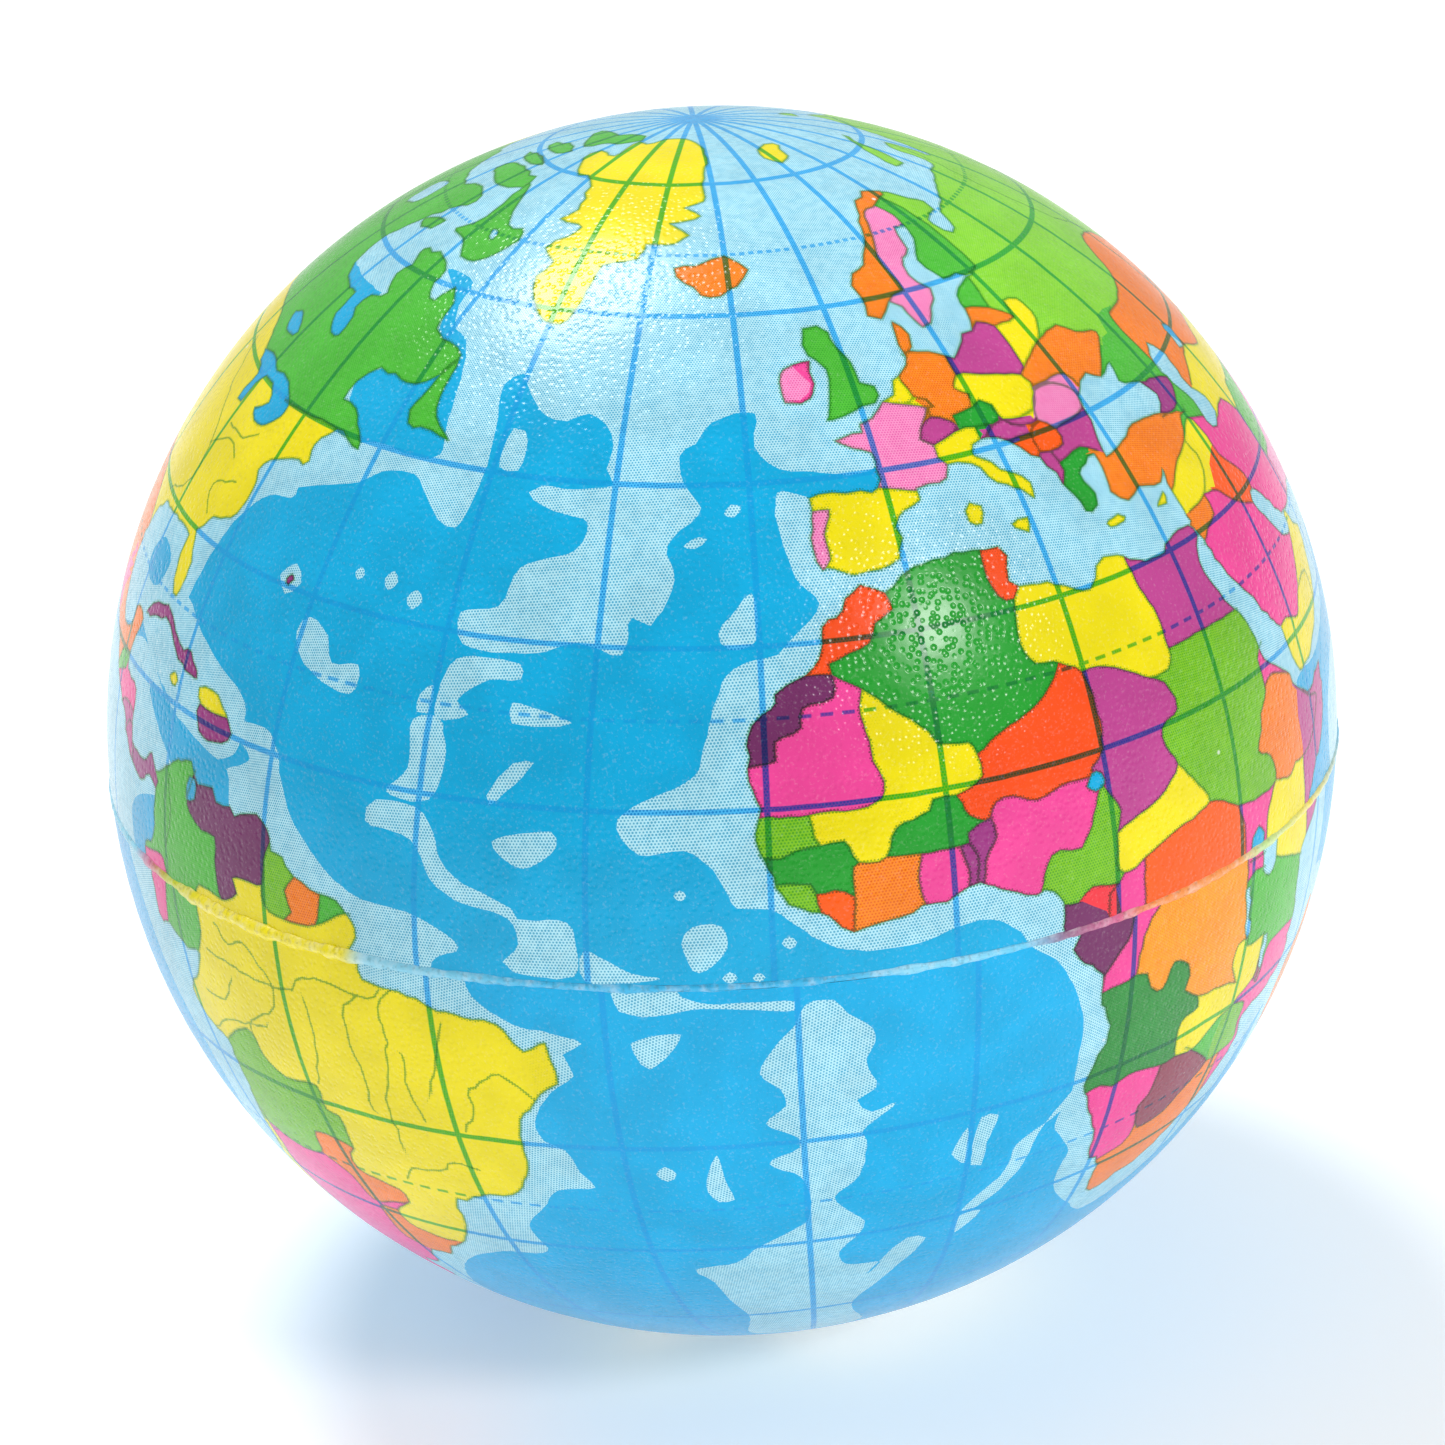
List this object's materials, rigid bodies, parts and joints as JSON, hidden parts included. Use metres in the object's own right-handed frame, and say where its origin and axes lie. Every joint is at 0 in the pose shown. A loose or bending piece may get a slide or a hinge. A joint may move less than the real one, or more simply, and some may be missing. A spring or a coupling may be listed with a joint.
{
  "type": "stress ball",
  "caption": "Foam ball in two printed film skins that show a world map, joined by a bead of flash at the equator seam, for squeezing in the hand.",
  "frame": {"origin": "centre of the ball", "axes": "+Z from the centre to the north pole of the printed map, square to the seam; -Y to the map's Atlantic meridian, about 19 degrees west; +X to the right seen from -Y"},
  "size_m": [0.0636, 0.0636, 0.063],
  "materials": {
    "foam": "matte cellular foam",
    "north_print": "satin printed skin with a fine pebble grain",
    "south_print": "satin printed skin with a fine pebble grain",
    "flash": "trimmed satin moulding flash"
  },
  "bodies": {
    "lower_half": {"foam_core": "foam", "south_skin": "south_print", "seam_bead": "flash"},
    "upper_half": {"north_skin": "north_print"}
  },
  "joints": [
    {"name": "squeeze", "type": "slide", "parent": "lower_half", "child": "upper_half", "axis": [0, 0, -1], "range_m": [0, 0.022], "stiffness_N_per_m": 1500, "deforming": ["north_skin", "foam_core", "south_skin", "seam_bead"]}
  ]
}
